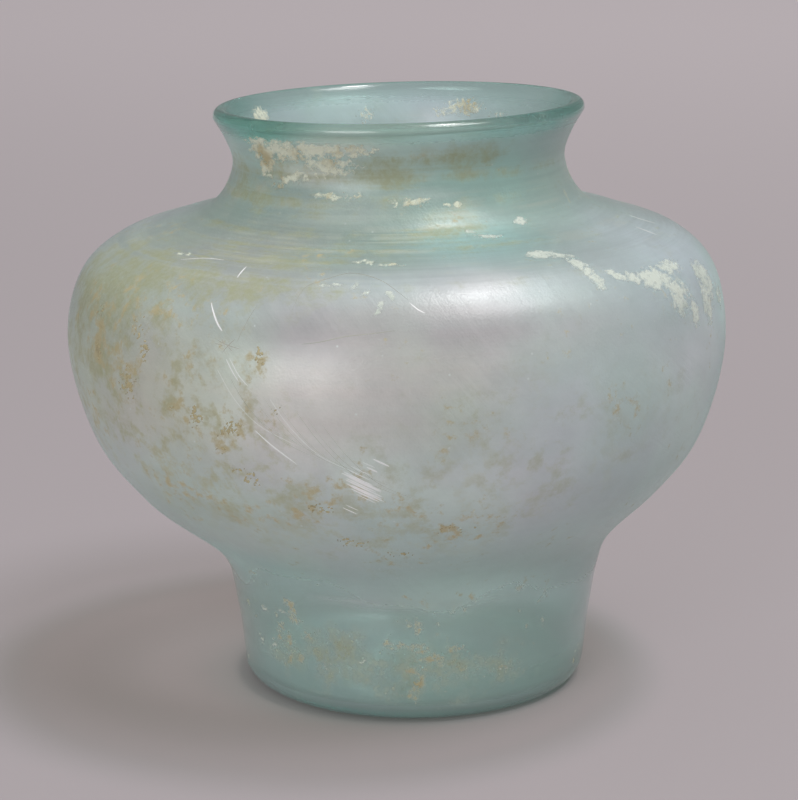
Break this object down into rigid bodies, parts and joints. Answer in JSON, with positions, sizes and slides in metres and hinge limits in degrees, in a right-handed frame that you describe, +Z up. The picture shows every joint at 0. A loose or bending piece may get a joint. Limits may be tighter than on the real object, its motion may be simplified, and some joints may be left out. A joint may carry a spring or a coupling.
{
  "type": "globular glass jar",
  "caption": "Free-blown globular glass jar with a flared neck, broad shoulder and tall foot, pale aqua with lime and earth crusts; stands on its base and holds goods inside.",
  "frame": {"origin": "on the table, below the middle of the belly", "axes": "+Z up through the mouth; -Y towards the viewer of the picture; +X to that viewer's right, the side on which the lip is higher"},
  "size_m": [0.1256, 0.1256, 0.1128],
  "materials": {
    "aqua_glass": "clear pale blue-green glass with seeds and streaks",
    "deep_aqua_glass": "thick blue-green glass, fire polished",
    "milky_glass": "pale blue-green glass under a pearly weathering film",
    "lime_crust": "matt white lime crust",
    "earth_crust": "matt ochre soil crust"
  },
  "bodies": {
    "root": {"base_pad": "deep_aqua_glass", "pontil_scar": "aqua_glass", "foot_wall": "aqua_glass", "body_bubble": "milky_glass", "neck_collar": "aqua_glass", "rim_lip": "deep_aqua_glass", "neck_earth_crust": "earth_crust", "shoulder_lime_crust": "lime_crust", "flank_earth_crust": "earth_crust", "floor_lime_crust": "lime_crust"}
  },
  "joints": []
}
